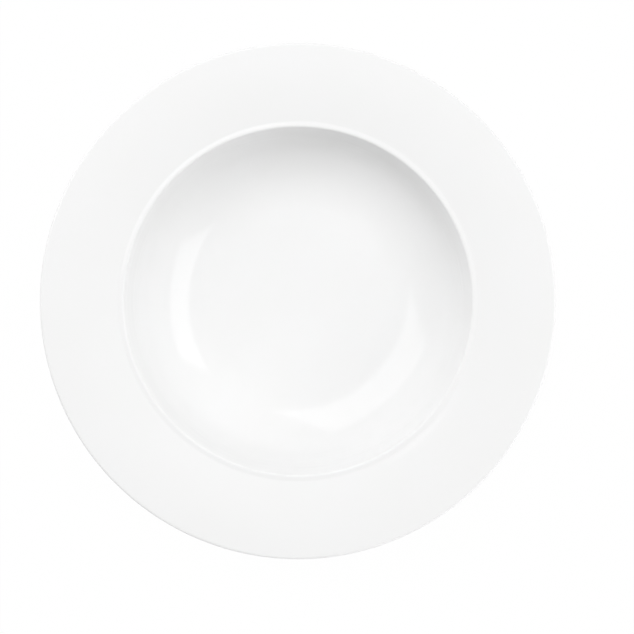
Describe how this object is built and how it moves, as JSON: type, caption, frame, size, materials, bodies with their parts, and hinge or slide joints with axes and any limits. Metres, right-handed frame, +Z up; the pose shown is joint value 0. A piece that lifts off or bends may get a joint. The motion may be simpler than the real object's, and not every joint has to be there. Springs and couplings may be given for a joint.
{
  "type": "rimmed cereal bowl",
  "caption": "Round white glazed porcelain bowl for cereal or soup, with a wide gently rising rim, a deep curved well and a low foot ring.",
  "frame": {"origin": "middle of the plane that the foot ring stands on", "axes": "+Z up along the bowl's axis, out of its mouth; X and Y level, alike by symmetry"},
  "size_m": [0.23, 0.23, 0.0364],
  "materials": {
    "bare_porcelain": "unglazed, matte",
    "white_glaze": "clear gloss over white"
  },
  "bodies": {
    "root": {"porcelain_body": "bare_porcelain", "glaze_coat": "white_glaze", "base_glaze": "white_glaze"}
  },
  "joints": []
}
